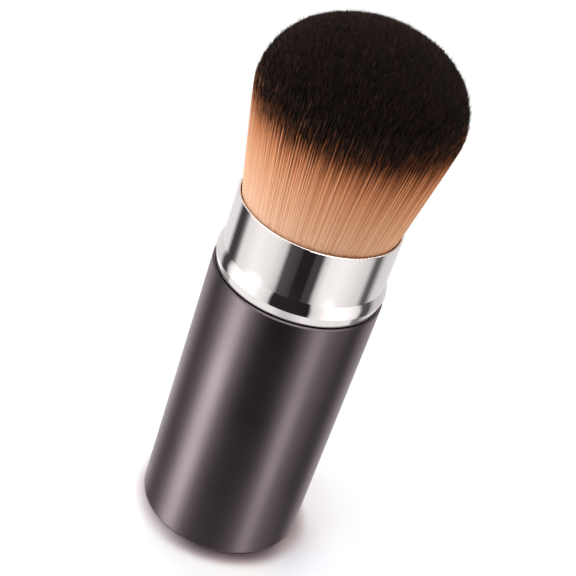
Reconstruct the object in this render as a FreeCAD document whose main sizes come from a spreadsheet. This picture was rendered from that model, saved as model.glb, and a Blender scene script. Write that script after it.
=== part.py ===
import FreeCAD
import Part
import Sketcher
import math
import os

# Retractable kabuki make-up brush, open, standing on its base. Millimetres and degrees, +Z up.
# The origin is the centre of the base. A sleeve slides up out of the handle to cover the bristles.

DIMENSIONS = {
    # Handle shell: a drawn cup, closed at the base
    "handle_radius": 17.0,
    "handle_length": 59.6,
    "shell_wall": 0.8,
    "shell_floor": 1.0,
    "base_edge_radius": 0.5,
    "mouth_chamfer": 0.25,
    # Glue line between bonded pieces
    "bond_line": 0.1,
    # Liner tube and the keyways that stop the sleeve from turning
    "liner_wall": 0.8,
    "keyway_width": 3.0,
    "keyway_depth": 0.4,
    "key_clearance": 0.15,
    "key_count": 3,
    # Bush in the handle's mouth: its edge stands proud of the shell
    "bush_height": 3.05,
    "bush_rise": 0.1,
    "bush_clearance": 0.1,
    "bush_edge": 0.15,
    # Base plate with the seat for the post
    "plate_thickness": 2.5,
    "boss_wall": 2.4,
    "seat_depth": 2.0,
    "web_thickness": 2.0,
    "head_clearance": 0.3,
    # Post that carries the ferrule cup
    "post_radius": 5.5,
    "post_clearance": 0.1,
    "post_flange": 2.0,
    "flange_margin": 0.7,
    "rib_count": 4,
    "rib_height": 8.0,
    "rib_thickness": 1.6,
    "rib_root": 0.6,
    # Screws and washers at the two ends of the post
    "screw_radius": 1.5,
    "screw_length": 11.0,
    "screw_clearance": 0.2,
    "thread_clearance": 0.05,
    "head_radius": 3.0,
    "head_height": 1.8,
    "washer_thickness": 0.5,
    "washer_margin": 0.5,
    # Ferrule cup, glue and binding round the bristle roots
    "cup_clearance": 0.35,
    "cup_wall": 0.4,
    "cup_floor": 0.5,
    "cup_height": 11.5,
    "cup_drop": 2.5,
    "glue_depth": 4.0,
    "binding_height": 3.0,
    "binding_thickness": 0.8,
    "binding_clearance": 0.1,
    # Sleeve: tube, foot and friction bands
    "tube_wall": 0.8,
    "foot_clearance": 0.15,
    "foot_gap": 0.3,
    "foot_height": 12.0,
    "foot_lip": 1.5,
    "stop_step": 0.45,
    "band_width": 1.6,
    "band_inset": 1.5,
    "groove_depth": 0.25,
    "groove_clearance": 0.1,
    "band_clearance": 0.1,
    "key_height": 4.0,
    "key_root": 0.3,
    # Polished collar: a bead at its foot and a plain seat for a cap above it
    "collar_gap": 0.25,
    "collar_height": 15.25,
    "collar_step": 0.9,
    "collar_wall": 0.45,
    "collar_flange": 0.5,
    "flange_clearance": 0.2,
    "bead_inset": 0.1,
    "bead_foot_inset": 0.5,
    "bead_crest": 1.95,
    "bead_centre": 1.35,
    "bead_height": 4.35,
    "rim_round": 0.2,
    # Ring inside the collar that gathers the bristles as the sleeve rises
    "funnel_height": 12.0,
    "socket_depth": 4.0,
    # Tuft: a straight flare, a rounded shoulder and a domed top
    "bristle_clearance": 0.2,
    "flare_angle": 10.4,
    "shoulder_radius": 12.8,
    "dome_radius": 24.2,
    "tuft_height": 37.25,
    "outer_layer": 2.5,
}

FULL_TURN = 360
NEAR = 1e-4

DOC = FreeCAD.newDocument("kabuki_brush")
SHEET = DOC.addObject("Spreadsheet::Sheet", "Dimensions")


class Size:
    """A length that carries its value and the sheet formula that gives it."""

    def __init__(self, value, formula):
        self.value = value
        self.formula = formula

    def __add__(self, other):
        return Size(self.value + other.value, f"({self.formula} + {other.formula})")

    def __sub__(self, other):
        return Size(self.value - other.value, f"({self.formula} - {other.formula})")

    def __mul__(self, other):
        return Size(self.value * other.value, f"({self.formula} * {other.formula})")

    def __truediv__(self, other):
        return Size(self.value / other.value, f"({self.formula} / {other.formula})")

    def half(self):
        return Size(self.value / 2, f"({self.formula} / 2)")


class Sizes:
    """The driving dimensions, each as a Size named by its alias."""


def fill_sheet():
    """Writes the driving dimensions to the sheet and gives them back as Sizes."""
    sizes = Sizes()
    for row, (alias, value) in enumerate(DIMENSIONS.items(), start=1):
        SHEET.set(f"A{row}", alias)
        SHEET.set(f"B{row}", str(value))
        SHEET.setAlias(f"B{row}", alias)
        setattr(sizes, alias, Size(value, f"Dimensions.{alias}"))
    DOC.recompute()
    return sizes


D = fill_sheet()
ZERO = Size(0.0, "0")

# Radii, from the outside inwards
shell_bore = D.handle_radius - D.shell_wall
fitted_radius = shell_bore - D.bond_line
liner_bore = fitted_radius - D.liner_wall
foot_radius = liner_bore - D.foot_clearance
bush_bore = foot_radius - D.stop_step
tube_radius = bush_bore - D.bush_clearance
tube_bore = tube_radius - D.tube_wall
tube_socket = tube_radius + D.bond_line
cup_radius = tube_bore - D.cup_clearance
cup_bore = cup_radius - D.cup_wall
root_radius = cup_bore - D.bond_line
core_radius = root_radius - D.outer_layer
collar_radius = D.handle_radius - D.collar_step
collar_bore = collar_radius - D.collar_wall
funnel_radius = collar_bore - D.bond_line
bristle_rim = collar_bore - D.bristle_clearance
screw_hole = D.screw_radius + D.screw_clearance
pilot_bore = D.screw_radius + D.thread_clearance
washer_radius = D.head_radius + D.washer_margin
head_bore = washer_radius + D.head_clearance

# Heights, from the base upwards
plate_bottom = D.shell_floor + D.bond_line
plate_top = plate_bottom + D.plate_thickness
counterbore_top = plate_bottom + D.head_clearance + D.head_height + D.washer_thickness
post_seat = counterbore_top + D.web_thickness
foot_bottom = plate_top + D.foot_gap
foot_top = foot_bottom + D.foot_height
tube_bottom = foot_bottom + D.foot_lip + D.bond_line
bush_top = D.handle_length + D.bush_rise
bush_bottom = bush_top - D.bush_height
collar_bottom = D.handle_length + D.collar_gap
flange_top = collar_bottom + D.collar_flange
neck = collar_bottom + D.bead_height
collar_top = collar_bottom + D.collar_height
funnel_bottom = flange_top + D.bond_line
funnel_top = funnel_bottom + D.funnel_height
socket_top = funnel_bottom + D.socket_depth
tube_top = socket_top - D.bond_line
cup_top = tube_top - D.cup_drop
cup_bottom = cup_top - D.cup_height
cup_floor_top = cup_bottom + D.cup_floor
glue_top = cup_floor_top + D.glue_depth
root_bottom = glue_top + D.bond_line
tuft_top = collar_top + D.tuft_height


def vector(x, y):
    return FreeCAD.Vector(x.value, y.value, 0)


def attach(body, role, name):
    """A sketch on one of its body's own origin planes."""
    sketch = body.newObject("Sketcher::SketchObject", name)
    plane = next(item for item in body.Origin.OriginFeatures if item.Role == role)
    sketch.AttachmentSupport = [(plane, "")]
    sketch.MapMode = "FlatFace"
    return sketch


def hold(sketch, kind, geometry, point, size, name):
    """Ties one coordinate of a point to a size. A coordinate of zero lies on the sketch's own axis."""
    if size is ZERO:
        axis = {"DistanceX": -2, "DistanceY": -1}[kind]
        sketch.addConstraint(Sketcher.Constraint("PointOnObject", geometry, point, axis))
        return
    number = sketch.addConstraint(Sketcher.Constraint(kind, -1, 1, geometry, point, size.value))
    sketch.renameConstraint(number, name)
    sketch.setExpression(f"Constraints.{name}", size.formula)


def arc_between(first, second, centre):
    """The shorter arc round a centre, and whether it runs from the second point to the first."""
    radius = (first - centre).Length
    start = math.atan2(first.y - centre.y, first.x - centre.x)
    end = math.atan2(second.y - centre.y, second.x - centre.x)
    backwards = math.sin(end - start) < 0
    if backwards:
        start, end = end, start
    circle = Part.Circle(centre, FreeCAD.Vector(0, 0, 1), radius)
    return Part.ArcOfCircle(circle, start, end), backwards


def level_centre(first, second, height):
    """The centre, at a known height, of the arc through two points."""
    rise = (first.y - height) ** 2 - (second.y - height) ** 2
    across = (first.x ** 2 - second.x ** 2 + rise) / (2 * (first.x - second.x))
    return FreeCAD.Vector(across, height, 0)


def draw(sketch, corners, arcs=None):
    """A closed outline through corners of (across, up).

    arcs gives, for the corner that an arc starts from, the height of the arc's centre.
    """
    arcs = arcs or {}
    points = [vector(*corner) for corner in corners]
    starts = []
    ends = []
    for number, first in enumerate(points):
        second = points[(number + 1) % len(points)]
        start, end = 1, 2
        if number in arcs:
            centre = level_centre(first, second, arcs[number].value)
            segment, backwards = arc_between(first, second, centre)
            if backwards:
                start, end = 2, 1
        else:
            segment = Part.LineSegment(first, second)
        sketch.addGeometry(segment)
        starts.append(start)
        ends.append(end)
    for number, (across, up) in enumerate(corners):
        after = (number + 1) % len(corners)
        sketch.addConstraint(Sketcher.Constraint("Coincident", number, ends[number], after, starts[after]))
        hold(sketch, "DistanceX", number, starts[number], across, f"across_{number}")
        hold(sketch, "DistanceY", number, starts[number], up, f"up_{number}")
    for number, height in arcs.items():
        hold(sketch, "DistanceY", number, 3, height, f"centre_{number}")


def turn(body, sketch):
    """Turns a sketched outline about the brush's axis."""
    turning = body.newObject("PartDesign::Revolution", f"{body.Name}_turning")
    turning.Profile = sketch
    turning.ReferenceAxis = (sketch, ["V_Axis"])
    turning.Angle = FULL_TURN
    DOC.recompute()


def new_body(label):
    body = DOC.addObject("PartDesign::Body", label)
    body.Label = label
    return body


def turned(label, corners, arcs=None):
    """A body turned from an outline of (radius, height) corners."""
    body = new_body(label)
    sketch = attach(body, "XZ_Plane", f"{label}_outline")
    draw(sketch, corners, arcs)
    turn(body, sketch)
    return body


def ring(label, inner, outer, bottom, top):
    """A plain turned ring."""
    return turned(label, [(inner, bottom), (outer, bottom), (outer, top), (inner, top)])


def rim_edge(feature, radius, height):
    """The name of the circular edge of that radius at that height."""
    for number, edge in enumerate(feature.Shape.Edges, start=1):
        circle = edge.Curve
        if not isinstance(circle, Part.Circle):
            continue
        if abs(circle.Radius - radius.value) < NEAR and abs(circle.Center.z - height.value) < NEAR:
            return f"Edge{number}"
    raise ValueError(f"{feature.Name} has no rim of radius {radius.value} at {height.value}")


def ease(body, kind, size_name, size, rims):
    """Rounds or chamfers the rims, given as (radius, height)."""
    base = body.Tip
    easing = body.newObject(f"PartDesign::{kind}", f"{body.Name}_{kind.lower()}_{len(body.Group)}")
    easing.Base = (base, [rim_edge(base, radius, height) for radius, height in rims])
    easing.setExpression(size_name, size.formula)
    DOC.recompute()


def round_rims(body, radius, rims):
    ease(body, "Fillet", "Radius", radius, rims)


def chamfer_rims(body, width, rims):
    ease(body, "Chamfer", "Size", width, rims)


def repeat(body, feature, axis, count):
    """Repeats a feature evenly round the brush's axis."""
    pattern = body.newObject("PartDesign::PolarPattern", f"{feature.Name}_round")
    pattern.Originals = [feature]
    pattern.Axis = axis
    pattern.Angle = FULL_TURN
    pattern.setExpression("Occurrences", count.formula)
    body.Tip = pattern
    DOC.recompute()


def flat_bar(inner, outer, width):
    """Corners of a bar across the X axis, from one radius to another."""
    side = width.half()
    return [(inner, ZERO - side), (outer, ZERO - side), (outer, side), (inner, side)]


def group(label, members):
    """Loose solids of one kind, kept as one node."""
    together = DOC.addObject("Part::Compound", label)
    together.Label = label
    together.Links = members
    return together


def make_handle_shell():
    body = turned("handle_shell", [
        (ZERO, ZERO),
        (D.handle_radius, ZERO),
        (D.handle_radius, D.handle_length),
        (shell_bore, D.handle_length),
        (shell_bore, D.shell_floor),
        (ZERO, D.shell_floor),
    ])
    round_rims(body, D.base_edge_radius, [(D.handle_radius, ZERO)])
    mouth = D.handle_length
    chamfer_rims(body, D.mouth_chamfer, [(D.handle_radius, mouth), (shell_bore, mouth)])
    return body


def make_handle_liner():
    body = ring("handle_liner", liner_bore, fitted_radius, plate_top, bush_bottom)
    sketch = attach(body, "XY_Plane", "keyway_outline")
    draw(sketch, flat_bar(core_radius, liner_bore + D.keyway_depth, D.keyway_width))
    keyway = body.newObject("PartDesign::Pocket", "keyway")
    keyway.Profile = sketch
    keyway.Type = "ThroughAll"
    keyway.Reversed = True
    DOC.recompute()
    repeat(body, keyway, (sketch, ["N_Axis"]), D.key_count)
    return body


def make_mouth_bush():
    body = ring("mouth_bush", bush_bore, fitted_radius, bush_bottom, bush_top)
    chamfer_rims(body, D.bush_edge, [(fitted_radius, bush_top), (bush_bore, bush_top)])
    return body


def make_base_plate():
    seat_radius = D.post_radius + D.post_clearance
    boss_radius = seat_radius + D.boss_wall
    boss_top = post_seat + D.seat_depth
    return turned("base_plate", [
        (head_bore, plate_bottom),
        (fitted_radius, plate_bottom),
        (fitted_radius, plate_top),
        (boss_radius, plate_top),
        (boss_radius, boss_top),
        (seat_radius, boss_top),
        (seat_radius, post_seat),
        (screw_hole, post_seat),
        (screw_hole, counterbore_top),
        (head_bore, counterbore_top),
    ])


def make_support_post():
    flange_radius = cup_radius - D.flange_margin
    flange_bottom = cup_bottom - D.post_flange
    rib_inner = D.post_radius - D.rib_root
    body = turned("support_post", [
        (pilot_bore, post_seat),
        (D.post_radius, post_seat),
        (D.post_radius, flange_bottom),
        (flange_radius, flange_bottom),
        (flange_radius, cup_bottom),
        (pilot_bore, cup_bottom),
    ])
    sketch = attach(body, "XZ_Plane", "rib_outline")
    draw(sketch, [
        (rib_inner, flange_bottom - D.rib_height),
        (D.post_radius, flange_bottom - D.rib_height),
        (flange_radius - D.rib_root, flange_bottom),
        (flange_radius - D.rib_root, flange_bottom + D.post_flange.half()),
        (rib_inner, flange_bottom + D.post_flange.half()),
    ])
    rib = body.newObject("PartDesign::Pad", "rib")
    rib.Profile = sketch
    rib.SideType = "Symmetric"
    rib.setExpression("Length", D.rib_thickness.formula)
    DOC.recompute()
    repeat(body, rib, (sketch, ["V_Axis"]), D.rib_count)
    return body


def make_screw(label, under_head, points_up):
    """A screw whose head bears at one height, with its shank pointing up or down."""
    if points_up:
        head_end = under_head - D.head_height
        shank_end = under_head + D.screw_length
    else:
        head_end = under_head + D.head_height
        shank_end = under_head - D.screw_length
    return turned(label, [
        (ZERO, head_end),
        (D.head_radius, head_end),
        (D.head_radius, under_head),
        (D.screw_radius, under_head),
        (D.screw_radius, shank_end),
        (ZERO, shank_end),
    ])


def make_post_screws():
    lower = make_screw("lower_screw", counterbore_top - D.washer_thickness, True)
    upper = make_screw("upper_screw", cup_floor_top + D.washer_thickness, False)
    return group("post_screws", [lower, upper])


def make_screw_washers():
    lower = ring("lower_washer", screw_hole, washer_radius,
                 counterbore_top - D.washer_thickness, counterbore_top)
    upper = ring("upper_washer", screw_hole, washer_radius,
                 cup_floor_top, cup_floor_top + D.washer_thickness)
    return group("screw_washers", [lower, upper])


def make_ferrule_cup():
    return turned("ferrule_cup", [
        (screw_hole, cup_bottom),
        (cup_radius, cup_bottom),
        (cup_radius, cup_top),
        (cup_bore, cup_top),
        (cup_bore, cup_floor_top),
        (screw_hole, cup_floor_top),
    ])


def make_glue_plug():
    pocket_radius = washer_radius + D.bond_line
    pocket_top = cup_floor_top + D.washer_thickness + D.head_height + D.bond_line
    plug_bottom = cup_floor_top + D.bond_line
    return turned("glue_plug", [
        (ZERO, pocket_top),
        (pocket_radius, pocket_top),
        (pocket_radius, plug_bottom),
        (root_radius, plug_bottom),
        (root_radius, glue_top),
        (ZERO, glue_top),
    ])


def make_root_binding():
    wire = D.binding_thickness.half()
    binding = DOC.addObject("Part::Torus", "root_binding")
    binding.Label = "root_binding"
    binding.setExpression("Radius1", (root_radius - D.binding_clearance - wire).formula)
    binding.setExpression("Radius2", wire.formula)
    binding.setExpression("Placement.Base.z", (glue_top + D.binding_height).formula)
    return binding


def dome_height(radius):
    """Height of the domed top at a radius."""
    drop = D.dome_radius.value - math.sqrt(D.dome_radius.value ** 2 - radius.value ** 2)
    return tuft_top.value - drop


def make_inner_bristles():
    """The straight core of the tuft, under the middle of the dome."""
    body = new_body("inner_bristles")
    sketch = attach(body, "XZ_Plane", "inner_bristles_outline")
    dome_centre = tuft_top - D.dome_radius
    foot = vector(ZERO, root_bottom)
    corner = vector(core_radius, root_bottom)
    edge = FreeCAD.Vector(core_radius.value, dome_height(core_radius), 0)
    crown = vector(ZERO, tuft_top)
    dome, _ = arc_between(edge, crown, vector(ZERO, dome_centre))
    sketch.addGeometry(Part.LineSegment(foot, corner))
    sketch.addGeometry(Part.LineSegment(corner, edge))
    sketch.addGeometry(dome)
    sketch.addGeometry(Part.LineSegment(crown, foot))
    sketch.addConstraint([
        Sketcher.Constraint("Coincident", 0, 2, 1, 1),
        Sketcher.Constraint("Coincident", 1, 2, 2, 1),
        Sketcher.Constraint("Coincident", 2, 2, 3, 1),
        Sketcher.Constraint("Coincident", 3, 2, 0, 1),
        Sketcher.Constraint("Vertical", 1),
    ])
    hold(sketch, "DistanceX", 0, 1, ZERO, "foot_across")
    hold(sketch, "DistanceY", 0, 1, root_bottom, "foot_up")
    hold(sketch, "DistanceX", 1, 1, core_radius, "core_across")
    hold(sketch, "DistanceY", 1, 1, root_bottom, "core_up")
    hold(sketch, "DistanceX", 2, 2, ZERO, "crown_across")
    hold(sketch, "DistanceY", 2, 2, tuft_top, "crown_up")
    hold(sketch, "DistanceX", 2, 3, ZERO, "centre_across")
    hold(sketch, "DistanceY", 2, 3, dome_centre, "centre_up")
    turn(body, sketch)
    return body


def tuft_tangents():
    """Where the flare meets the shoulder, the shoulder's centre, and where the shoulder meets the dome."""
    lean = math.radians(D.flare_angle.value)
    along = FreeCAD.Vector(math.sin(lean), math.cos(lean), 0)
    inward = FreeCAD.Vector(-math.cos(lean), math.sin(lean), 0)
    centre = FreeCAD.Vector(0, tuft_top.value - D.dome_radius.value, 0)
    reach = D.dome_radius.value - D.shoulder_radius.value
    start = vector(bristle_rim, collar_top) + inward * D.shoulder_radius.value - centre
    run = -start.dot(along) + math.sqrt(start.dot(along) ** 2 - start.dot(start) + reach ** 2)
    shoulder_centre = centre + start + along * run
    flare_end = shoulder_centre - inward * D.shoulder_radius.value
    outward = (shoulder_centre - centre) * (1 / reach)
    dome_start = centre + outward * D.dome_radius.value
    return flare_end, shoulder_centre, dome_start


def make_outer_bristles():
    """The outer layer of the tuft: it leaves the cup, leans on the collar's rim and flares to the dome."""
    inner = core_radius + D.bond_line
    tie = glue_top + D.binding_height
    reach = D.binding_thickness.half() + D.binding_clearance
    groove = root_radius - reach - reach
    body = new_body("outer_bristles")
    sketch = attach(body, "XZ_Plane", "outer_bristles_outline")
    corners = [
        (inner, root_bottom),
        (root_radius, root_bottom),
        (root_radius, tie - reach),
        (groove, tie - reach),
        (groove, tie + reach),
        (root_radius, tie + reach),
        (root_radius, socket_top),
        (bristle_rim, collar_top),
    ]
    flare_end, shoulder_centre, dome_start = tuft_tangents()
    dome_centre = tuft_top - D.dome_radius
    dome_end = FreeCAD.Vector(inner.value, dome_height(inner), 0)
    points = [vector(*corner) for corner in corners]
    for first, second in zip(points, points[1:] + [flare_end]):
        sketch.addGeometry(Part.LineSegment(first, second))
    flare = len(corners) - 1
    shoulder, dome, wall = flare + 1, flare + 2, flare + 3
    sketch.addGeometry(arc_between(flare_end, dome_start, shoulder_centre)[0])
    sketch.addGeometry(arc_between(dome_start, dome_end, vector(ZERO, dome_centre))[0])
    sketch.addGeometry(Part.LineSegment(dome_end, points[0]))
    for number in range(flare):
        sketch.addConstraint(Sketcher.Constraint("Coincident", number, 2, number + 1, 1))
    sketch.addConstraint([
        Sketcher.Constraint("Tangent", flare, 2, shoulder, 1),
        Sketcher.Constraint("Tangent", shoulder, 2, dome, 1),
        Sketcher.Constraint("Coincident", dome, 2, wall, 1),
        Sketcher.Constraint("Coincident", wall, 2, 0, 1),
        Sketcher.Constraint("Vertical", wall),
    ])
    for number, (across, up) in enumerate(corners):
        hold(sketch, "DistanceX", number, 1, across, f"across_{number}")
        hold(sketch, "DistanceY", number, 1, up, f"up_{number}")
    lean = -math.radians(D.flare_angle.value)
    number = sketch.addConstraint(Sketcher.Constraint("Angle", -2, 1, flare, 1, lean))
    sketch.renameConstraint(number, "lean")
    sketch.setExpression("Constraints.lean", f"-1 deg * {D.flare_angle.formula}")
    for arc, size, name in ((shoulder, D.shoulder_radius, "shoulder"), (dome, D.dome_radius, "dome")):
        number = sketch.addConstraint(Sketcher.Constraint("Radius", arc, size.value))
        sketch.renameConstraint(number, name)
        sketch.setExpression(f"Constraints.{name}", size.formula)
    hold(sketch, "DistanceX", dome, 3, ZERO, "centre_across")
    hold(sketch, "DistanceY", dome, 3, dome_centre, "centre_up")
    turn(body, sketch)
    return body


def make_bead_ring():
    """The turned ring at the collar's foot. It is round above its crest and chamfered below it.

    Its flange carries the sleeve.
    """
    crest = collar_bottom + D.bead_crest
    centre = collar_bottom + D.bead_centre
    flange_bore = tube_radius + D.flange_clearance
    return turned("bead_ring", [
        (flange_bore, collar_bottom),
        (D.handle_radius - D.bead_foot_inset, collar_bottom),
        (D.handle_radius - D.bead_inset, crest),
        (collar_radius, neck),
        (collar_bore, neck),
        (collar_bore, flange_top),
        (flange_bore, flange_top),
    ], arcs={2: centre})


def make_collar():
    """The plain tube above the bead, which a cap slides over."""
    body = ring("collar", collar_bore, collar_radius, neck, collar_top)
    round_rims(body, D.rim_round, [(collar_radius, collar_top), (collar_bore, collar_top)])
    return body


def make_funnel_ring():
    share = (funnel_top - socket_top) / (collar_top - socket_top)
    mouth = root_radius + (bristle_rim - root_radius) * share + D.bristle_clearance
    return turned("funnel_ring", [
        (tube_socket, funnel_bottom),
        (funnel_radius, funnel_bottom),
        (funnel_radius, funnel_top),
        (mouth, funnel_top),
        (tube_bore, socket_top),
        (tube_socket, socket_top),
    ])


def make_slide_tube():
    return ring("slide_tube", tube_bore, tube_radius, tube_bottom, tube_top)


def band_bottoms():
    """Heights of the lower edges of the two friction bands."""
    return foot_bottom + D.band_inset, foot_top - D.band_inset - D.band_width


def make_sleeve_foot():
    groove = foot_radius - D.groove_depth
    corners = [(tube_bore, foot_bottom), (foot_radius, foot_bottom)]
    for bottom in band_bottoms():
        lower = bottom - D.groove_clearance
        upper = bottom + D.band_width + D.groove_clearance
        corners += [(foot_radius, lower), (groove, lower), (groove, upper), (foot_radius, upper)]
    lip_top = foot_bottom + D.foot_lip
    corners += [(foot_radius, foot_top), (tube_socket, foot_top)]
    corners += [(tube_socket, lip_top), (tube_bore, lip_top)]
    body = turned("sleeve_foot", corners)
    sketch = attach(body, "XY_Plane", "key_outline")
    key_radius = liner_bore + D.keyway_depth - D.key_clearance
    key_width = D.keyway_width - D.key_clearance - D.key_clearance
    draw(sketch, flat_bar(foot_radius - D.key_root, key_radius, key_width))
    key_bottom = foot_bottom + (D.foot_height - D.key_height).half()
    sketch.setExpression("AttachmentOffset.Base.z", key_bottom.formula)
    key = body.newObject("PartDesign::Pad", "key")
    key.Profile = sketch
    key.setExpression("Length", D.key_height.formula)
    DOC.recompute()
    repeat(body, key, (sketch, ["N_Axis"]), D.key_count)
    return body


def make_friction_rings():
    inner = foot_radius - D.groove_depth + D.groove_clearance
    outer = liner_bore - D.band_clearance
    bands = []
    for label, bottom in zip(("lower_band", "upper_band"), band_bottoms()):
        bands.append(ring(label, inner, outer, bottom, bottom + D.band_width))
    return group("friction_rings", bands)


def check_document(nodes):
    """Stops on a failed object, or on a node that isn't made of valid solids."""
    for item in DOC.Objects:
        if "Invalid" in item.State or "Error" in item.State:
            raise RuntimeError(f"{item.Name} failed: {item.State}")
        if item.isDerivedFrom("Sketcher::SketchObject") and not item.FullyConstrained:
            raise RuntimeError(f"{item.Name} is loose")
    for node in nodes:
        if node.Shape.isNull() or not node.Shape.isValid() or not node.Shape.Solids:
            raise RuntimeError(f"{node.Label} has no valid solid")


def check_cuts(liner, foot, post):
    """Each repeated cut or pad has to change its plain ring by about its own volume."""
    for body in (liner, foot, post):
        plain = body.Group[1].Shape.Volume
        print(f"{body.Label}: {plain:.1f} mm3 turned, {body.Shape.Volume:.1f} mm3 finished")
        if abs(plain - body.Shape.Volume) < NEAR:
            raise RuntimeError(f"{body.Label} was not cut")


def main():
    liner = make_handle_liner()
    post = make_support_post()
    foot = make_sleeve_foot()
    nodes = [
        make_handle_shell(),
        liner,
        make_mouth_bush(),
        make_base_plate(),
        post,
        make_post_screws(),
        make_screw_washers(),
        make_ferrule_cup(),
        make_glue_plug(),
        make_root_binding(),
        make_inner_bristles(),
        make_outer_bristles(),
        make_bead_ring(),
        make_collar(),
        make_funnel_ring(),
        make_slide_tube(),
        foot,
        make_friction_rings(),
    ]
    DOC.recompute()
    check_document(nodes)
    check_cuts(liner, foot, post)
    os.makedirs("parts", exist_ok=True)
    for node in nodes:
        node.Shape.exportStep(f"parts/{node.Label}.step")
        box = node.Shape.optimalBoundingBox()
        print(f"{node.Label}: radius {box.XMax:.2f}, height {box.ZMin:.2f} to {box.ZMax:.2f}")
    print(f"sleeve travel: {bush_bottom.value - foot_top.value:.2f} mm")


main()
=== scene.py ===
import math

import bpy
import numpy as np
from mathutils import Matrix, Vector


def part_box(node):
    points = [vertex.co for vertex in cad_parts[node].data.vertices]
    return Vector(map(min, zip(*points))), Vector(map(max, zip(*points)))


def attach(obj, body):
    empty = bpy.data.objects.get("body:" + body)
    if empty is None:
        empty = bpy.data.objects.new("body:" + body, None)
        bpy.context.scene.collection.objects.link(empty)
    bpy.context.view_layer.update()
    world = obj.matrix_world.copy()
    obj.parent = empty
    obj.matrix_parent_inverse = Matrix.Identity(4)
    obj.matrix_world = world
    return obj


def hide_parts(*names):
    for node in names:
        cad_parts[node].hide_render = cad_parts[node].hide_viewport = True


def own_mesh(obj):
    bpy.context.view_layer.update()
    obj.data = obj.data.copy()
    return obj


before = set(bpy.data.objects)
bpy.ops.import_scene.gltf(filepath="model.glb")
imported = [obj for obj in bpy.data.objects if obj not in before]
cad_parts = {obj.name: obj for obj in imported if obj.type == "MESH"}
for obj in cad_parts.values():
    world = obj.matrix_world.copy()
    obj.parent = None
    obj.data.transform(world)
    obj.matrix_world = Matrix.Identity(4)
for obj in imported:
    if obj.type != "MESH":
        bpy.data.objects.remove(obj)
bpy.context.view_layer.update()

# Sizes below are in millimetres, and MM turns them into the scene's metres.
MM = 0.001
SEED = 1787

# The camera stands before the brush and above it, rolled so that the brush leans to the right.
CAMERA_PLACE = (0.0, -210.19, 190.57)
CAMERA_PAN = -0.0054
CAMERA_TILT = 0.5697
CAMERA_ROLL = 0.3379
CAMERA_LENS = 80.636
CAMERA_SENSOR = 36.0

# The outermost fibre's line is upright in the cup, opens to the collar's rim and flares above it.
COLLAR_WALL = 0.45
RIM_GAP = 0.2
ROOT_RADIUS = 12.9
ROOT_TOP = 64.45
FLARE = math.radians(10.4)
SHOULDER_RADIUS = 13.4
DOME_RADIUS = 24.2
TUFT_LEAN = (0.012, 0.011)
OUTLINE_STEPS = 400

# The fibres stand in clumps: the inner ones spread over the tuft's section, the outer ones round its flank.
CLUMPS = 8000
FIBRES_PER_CLUMP = 11
CLUMP_SPREAD = 0.75
CLUMP_PULL = 0.06
CLUMP_JITTER = 0.35
GOLDEN_SHARE = 3 - math.sqrt(5)
FIBRE_WANDER = 0.0016
OUTER_CLUMPS = 2000
OUTER_FIBRES_PER_CLUMP = 11
OUTER_SPREAD = 0.011
OUTER_DEPTH = 0.1
OUTER_CROWDING = 2.0
OUTER_PULL = 0.08
FIBRE_RADIUS = 0.065
OUTER_FIBRE_RADIUS = 0.075
FIBRE_SIDES = 3
TIP_SHARE = 0.3
BEND_POWER = 1.5
OUTER_START = 3.2
OUTER_STEPS = (0.0, 0.08, 0.25, 0.42, 0.58, 0.74, 0.88, 1.0)
INNER_LENGTH = 9.0
INNER_STEPS = (0.0, 0.5, 0.82, 1.0)
TAPER_LENGTH = 2.6
TIP_DROP = 0.3
TIP_SCATTER = 0.24
SHOULDER_SCATTER = 0.42
SHOULDER_POWER = 8
CLUMP_SCATTER = 0.04
STRAY_CHANCE = 0.005
STRAY_RISE = 0.3

# Under the fibres lies a solid core, a little inside the flank and well below the tips. It takes a dark
# fibre tone, painted shade for the depth of the tuft.
CORE_SHARE = 0.93
CORE_RIM_SHARE = 0.985
CORE_EASE = 5.0
CORE_DEPTH = 2.4
CORE_FLANK_STEPS = 12
CORE_DOME_STEPS = 12
CORE_TURN_STEPS = 4
CORE_PAINTED_SHADE = 0.14
CORE_SHADE_TURN = 0.04

# The tips are dyed dark above a ragged line, which lies in the middle of the dye map.
DYE_MAP = "OFBake"
DYE_HEIGHT = 94.0
DYE_SIDE_RISE = 1.5
DYE_SIDE_POWER = 4
DYE_SIDE_SPREAD = 0.5
DYE_CLUMP = 0.25
DYE_FIBRE = 1.5
DYE_STREAK = 1.2
DYE_SPAN = 32.0
DYE_LINE = 0.5
DYE_LEAST = 0.01
DYE_MOST = 0.99

# Fibres differ in shade, and the flank is streaked. As painted light, the dome is lighter at the back and on
# the left, and the flank is paler and calmer on the left.
SHADE_MIDDLE = 0.5
SHADE_LEAST = 0.02
SHADE_MOST = 0.98
PAINTED_LIGHT_FLANK_LEFT = 0.04
PAINTED_LIGHT_CONTRAST_SIDE = 0.45
SHADE_CLUMP = 0.03
SHADE_FIBRE = 0.33
SHADE_EDGE = 0.008
PAINTED_LIGHT_DOME_BACK = 0.17
PAINTED_LIGHT_DOME_LEFT = 0.15
DOME_CLUMP = 0.1
STREAKS_LEAST = 120
STREAKS_MOST = 310
STREAK_WAVES = 60
STREAK_SHADE = 0.17

# The tuft is cut into sectors.
SECTORS = 24


# The display curve of sRGB colours.
DISPLAY_MOST = 255
DISPLAY_KNEE = 0.04045
DISPLAY_SLOPE = 12.92
DISPLAY_OFFSET = 0.055
DISPLAY_POWER = 2.4


def linear(share):
    """The light of a display value, both from 0 to 1."""
    if share <= DISPLAY_KNEE:
        return share / DISPLAY_SLOPE
    return ((share + DISPLAY_OFFSET) / (1 + DISPLAY_OFFSET)) ** DISPLAY_POWER


def srgb(red, green, blue):
    """A linear colour with alpha from display values of 0 to 255."""
    return (*[linear(value / DISPLAY_MOST) for value in (red, green, blue)], 1.0)


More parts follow.
